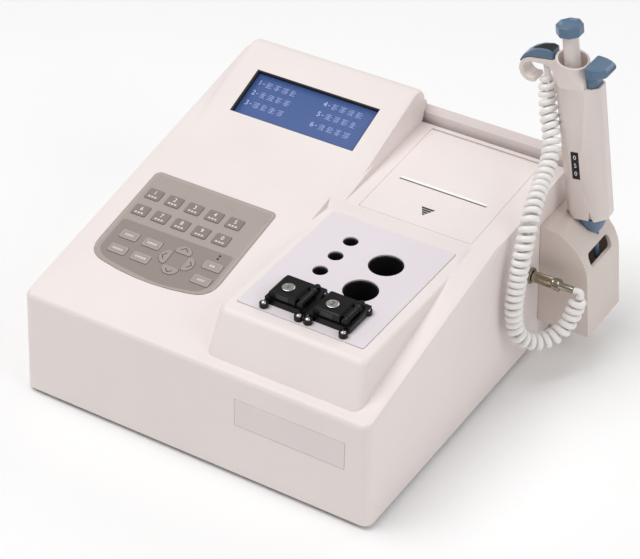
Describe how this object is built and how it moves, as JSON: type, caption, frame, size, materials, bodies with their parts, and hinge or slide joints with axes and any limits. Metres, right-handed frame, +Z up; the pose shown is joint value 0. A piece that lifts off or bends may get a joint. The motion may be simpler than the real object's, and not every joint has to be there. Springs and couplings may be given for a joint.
{
  "type": "coagulation analyzer",
  "caption": "Sloped bench analyzer with a raised display, a keypad, a heated block with wells and lidded measuring channels, a printer, and a pipette in a side holder on a curly cord.",
  "frame": {"origin": "middle of the bounding box's base, on the table", "axes": "+Z up, the front with the badge faces -Y, the pipette holder is on +X"},
  "size_m": [0.3687, 0.328, 0.2835],
  "materials": {
    "casing": "satin",
    "holder": "satin",
    "sheet_metal": "satin",
    "rubber": "matte",
    "plate": "satin",
    "display": "gloss",
    "dark_plastic": "satin",
    "overlay": "satin",
    "board": "satin",
    "keys": "satin",
    "heater_metal": "machined",
    "channel_black": "satin",
    "paper": "matte",
    "plated_metal": "nickel plated, satin",
    "pipette_shell": "satin",
    "pipette_blue": "satin",
    "cord": "satin"
  },
  "bodies": {
    "base": {"top_cover": "casing", "pipette_holder": "holder", "base_pan": "sheet_metal", "power_supply": "sheet_metal", "rear_panel": "sheet_metal", "foot_front_left": "rubber", "foot_front_right": "rubber", "foot_rear_left": "rubber", "foot_rear_right": "rubber", "badge_plate": "plate", "well_plate": "plate", "display_window": "display", "display_module": "dark_plastic", "printer_frame": "dark_plastic", "power_inlet": "dark_plastic", "keypad_overlay": "overlay", "keypad_board": "board", "detector_board": "board", "main_board": "board", "heating_block": "heater_metal", "channel_base_1": "channel_black", "channel_base_2": "channel_black", "paper_strip": "paper", "serial_port": "plated_metal", "jack_socket": "plated_metal", "jack_plug": "plated_metal", "curly_cord": "cord"},
    "number_key_0_body": {"number_key_0": "keys"},
    "number_key_1_body": {"number_key_1": "keys"},
    "number_key_2_body": {"number_key_2": "keys"},
    "number_key_3_body": {"number_key_3": "keys"},
    "number_key_4_body": {"number_key_4": "keys"},
    "number_key_5_body": {"number_key_5": "keys"},
    "number_key_6_body": {"number_key_6": "keys"},
    "number_key_7_body": {"number_key_7": "keys"},
    "number_key_8_body": {"number_key_8": "keys"},
    "number_key_9_body": {"number_key_9": "keys"},
    "mode_key_1_body": {"mode_key_1": "keys"},
    "mode_key_2_body": {"mode_key_2": "keys"},
    "mode_key_3_body": {"mode_key_3": "keys"},
    "mode_key_4_body": {"mode_key_4": "keys"},
    "mode_key_5_body": {"mode_key_5": "keys"},
    "mode_key_6_body": {"mode_key_6": "keys"},
    "arrow_key_right_body": {"arrow_key_right": "keys"},
    "arrow_key_up_body": {"arrow_key_up": "keys"},
    "arrow_key_left_body": {"arrow_key_left": "keys"},
    "arrow_key_down_body": {"arrow_key_down": "keys"},
    "channel_lid_1_body": {"channel_lid_1": "channel_black"},
    "channel_lid_2_body": {"channel_lid_2": "channel_black"},
    "printer_cover_body": {"printer_cover": "casing"},
    "platen_roller_body": {"platen_roller": "rubber"},
    "paper_roll_body": {"paper_roll": "paper"},
    "power_switch_body": {"power_switch": "dark_plastic"},
    "pipette": {"pipette_body": "pipette_shell", "nose_cone": "pipette_blue", "hook_inlay": "pipette_blue", "counter_window": "dark_plastic"},
    "plunger_body": {"plunger": "pipette_shell"},
    "plunger_knob_body": {"plunger_knob": "pipette_blue"},
    "ejector_body": {"ejector": "pipette_blue"}
  },
  "joints": [
    {"name": "number_key_0_press", "type": "slide", "parent": "base", "child": "number_key_0_body", "axis": [0, -0.2102, 0.9777], "range_m": [-0.0005, 0], "stiffness_N_per_m": 300},
    {"name": "number_key_1_press", "type": "slide", "parent": "base", "child": "number_key_1_body", "axis": [0, -0.2102, 0.9777], "range_m": [-0.0005, 0], "stiffness_N_per_m": 300},
    {"name": "number_key_2_press", "type": "slide", "parent": "base", "child": "number_key_2_body", "axis": [0, -0.2102, 0.9777], "range_m": [-0.0005, 0], "stiffness_N_per_m": 300},
    {"name": "number_key_3_press", "type": "slide", "parent": "base", "child": "number_key_3_body", "axis": [0, -0.2102, 0.9777], "range_m": [-0.0005, 0], "stiffness_N_per_m": 300},
    {"name": "number_key_4_press", "type": "slide", "parent": "base", "child": "number_key_4_body", "axis": [0, -0.2102, 0.9777], "range_m": [-0.0005, 0], "stiffness_N_per_m": 300},
    {"name": "number_key_5_press", "type": "slide", "parent": "base", "child": "number_key_5_body", "axis": [0, -0.2102, 0.9777], "range_m": [-0.0005, 0], "stiffness_N_per_m": 300},
    {"name": "number_key_6_press", "type": "slide", "parent": "base", "child": "number_key_6_body", "axis": [0, -0.2102, 0.9777], "range_m": [-0.0005, 0], "stiffness_N_per_m": 300},
    {"name": "number_key_7_press", "type": "slide", "parent": "base", "child": "number_key_7_body", "axis": [0, -0.2102, 0.9777], "range_m": [-0.0005, 0], "stiffness_N_per_m": 300},
    {"name": "number_key_8_press", "type": "slide", "parent": "base", "child": "number_key_8_body", "axis": [0, -0.2102, 0.9777], "range_m": [-0.0005, 0], "stiffness_N_per_m": 300},
    {"name": "number_key_9_press", "type": "slide", "parent": "base", "child": "number_key_9_body", "axis": [0, -0.2102, 0.9777], "range_m": [-0.0005, 0], "stiffness_N_per_m": 300},
    {"name": "mode_key_1_press", "type": "slide", "parent": "base", "child": "mode_key_1_body", "axis": [0, -0.2102, 0.9777], "range_m": [-0.0005, 0], "stiffness_N_per_m": 300},
    {"name": "mode_key_2_press", "type": "slide", "parent": "base", "child": "mode_key_2_body", "axis": [0, -0.2102, 0.9777], "range_m": [-0.0005, 0], "stiffness_N_per_m": 300},
    {"name": "mode_key_3_press", "type": "slide", "parent": "base", "child": "mode_key_3_body", "axis": [0, -0.2102, 0.9777], "range_m": [-0.0005, 0], "stiffness_N_per_m": 300},
    {"name": "mode_key_4_press", "type": "slide", "parent": "base", "child": "mode_key_4_body", "axis": [0, -0.2102, 0.9777], "range_m": [-0.0005, 0], "stiffness_N_per_m": 300},
    {"name": "mode_key_5_press", "type": "slide", "parent": "base", "child": "mode_key_5_body", "axis": [0, -0.2102, 0.9777], "range_m": [-0.0005, 0], "stiffness_N_per_m": 300},
    {"name": "mode_key_6_press", "type": "slide", "parent": "base", "child": "mode_key_6_body", "axis": [0, -0.2102, 0.9777], "range_m": [-0.0005, 0], "stiffness_N_per_m": 300},
    {"name": "arrow_key_right_press", "type": "slide", "parent": "base", "child": "arrow_key_right_body", "axis": [0, -0.2102, 0.9777], "range_m": [-0.0005, 0], "stiffness_N_per_m": 300},
    {"name": "arrow_key_up_press", "type": "slide", "parent": "base", "child": "arrow_key_up_body", "axis": [0, -0.2102, 0.9777], "range_m": [-0.0005, 0], "stiffness_N_per_m": 300},
    {"name": "arrow_key_left_press", "type": "slide", "parent": "base", "child": "arrow_key_left_body", "axis": [0, -0.2102, 0.9777], "range_m": [-0.0005, 0], "stiffness_N_per_m": 300},
    {"name": "arrow_key_down_press", "type": "slide", "parent": "base", "child": "arrow_key_down_body", "axis": [0, -0.2102, 0.9777], "range_m": [-0.0005, 0], "stiffness_N_per_m": 300},
    {"name": "channel_lid_1_swing", "type": "hinge", "parent": "base", "child": "channel_lid_1_body", "pos_m": [0.04325, -0.0985, 0.1393], "axis": [0, 1, 0], "range_deg": [0, 95]},
    {"name": "channel_lid_2_swing", "type": "hinge", "parent": "base", "child": "channel_lid_2_body", "pos_m": [0.08195, -0.0985, 0.1393], "axis": [0, 1, 0], "range_deg": [0, 95]},
    {"name": "printer_cover_swing", "type": "hinge", "parent": "base", "child": "printer_cover_body", "pos_m": [0.06115, 0.14514, 0.14264], "axis": [-1, 0, 0], "range_deg": [0, 65]},
    {"name": "platen_roller_turn", "type": "hinge", "parent": "base", "child": "platen_roller_body", "pos_m": [0.06025, 0.08228, 0.12699], "axis": [1, 0, 0], "continuous": true},
    {"name": "paper_roll_turn", "type": "hinge", "parent": "base", "child": "paper_roll_body", "pos_m": [0.06025, 0.11735, 0.11292], "axis": [1, 0, 0], "continuous": true},
    {"name": "power_switch_tilt", "type": "hinge", "parent": "base", "child": "power_switch_body", "pos_m": [-0.07675, 0.15411, 0.05], "axis": [-1, 0, 0], "range_deg": [0, 8]},
    {"name": "pipette_lift", "type": "slide", "parent": "base", "child": "pipette", "axis": [-0.1564, 0, 0.9877], "range_m": [0, 0.06], "deforming": ["curly_cord"]},
    {"name": "plunger_press", "type": "slide", "parent": "pipette", "child": "plunger_body", "axis": [-0.1564, 0, 0.9877], "range_m": [-0.014, 0], "stiffness_N_per_m": 300},
    {"name": "plunger_knob_turn", "type": "hinge", "parent": "plunger_body", "child": "plunger_knob_body", "pos_m": [0.12941, 0.142, 0.27718], "axis": [-0.1564, 0, 0.9877], "continuous": true},
    {"name": "ejector_press", "type": "slide", "parent": "pipette", "child": "ejector_body", "axis": [-0.1564, 0, 0.9877], "range_m": [-0.007, 0], "stiffness_N_per_m": 400}
  ],
  "couplings": [
    {"joint": "platen_roller_turn", "follows": "paper_roll_turn", "ratio": 4.4563}
  ]
}
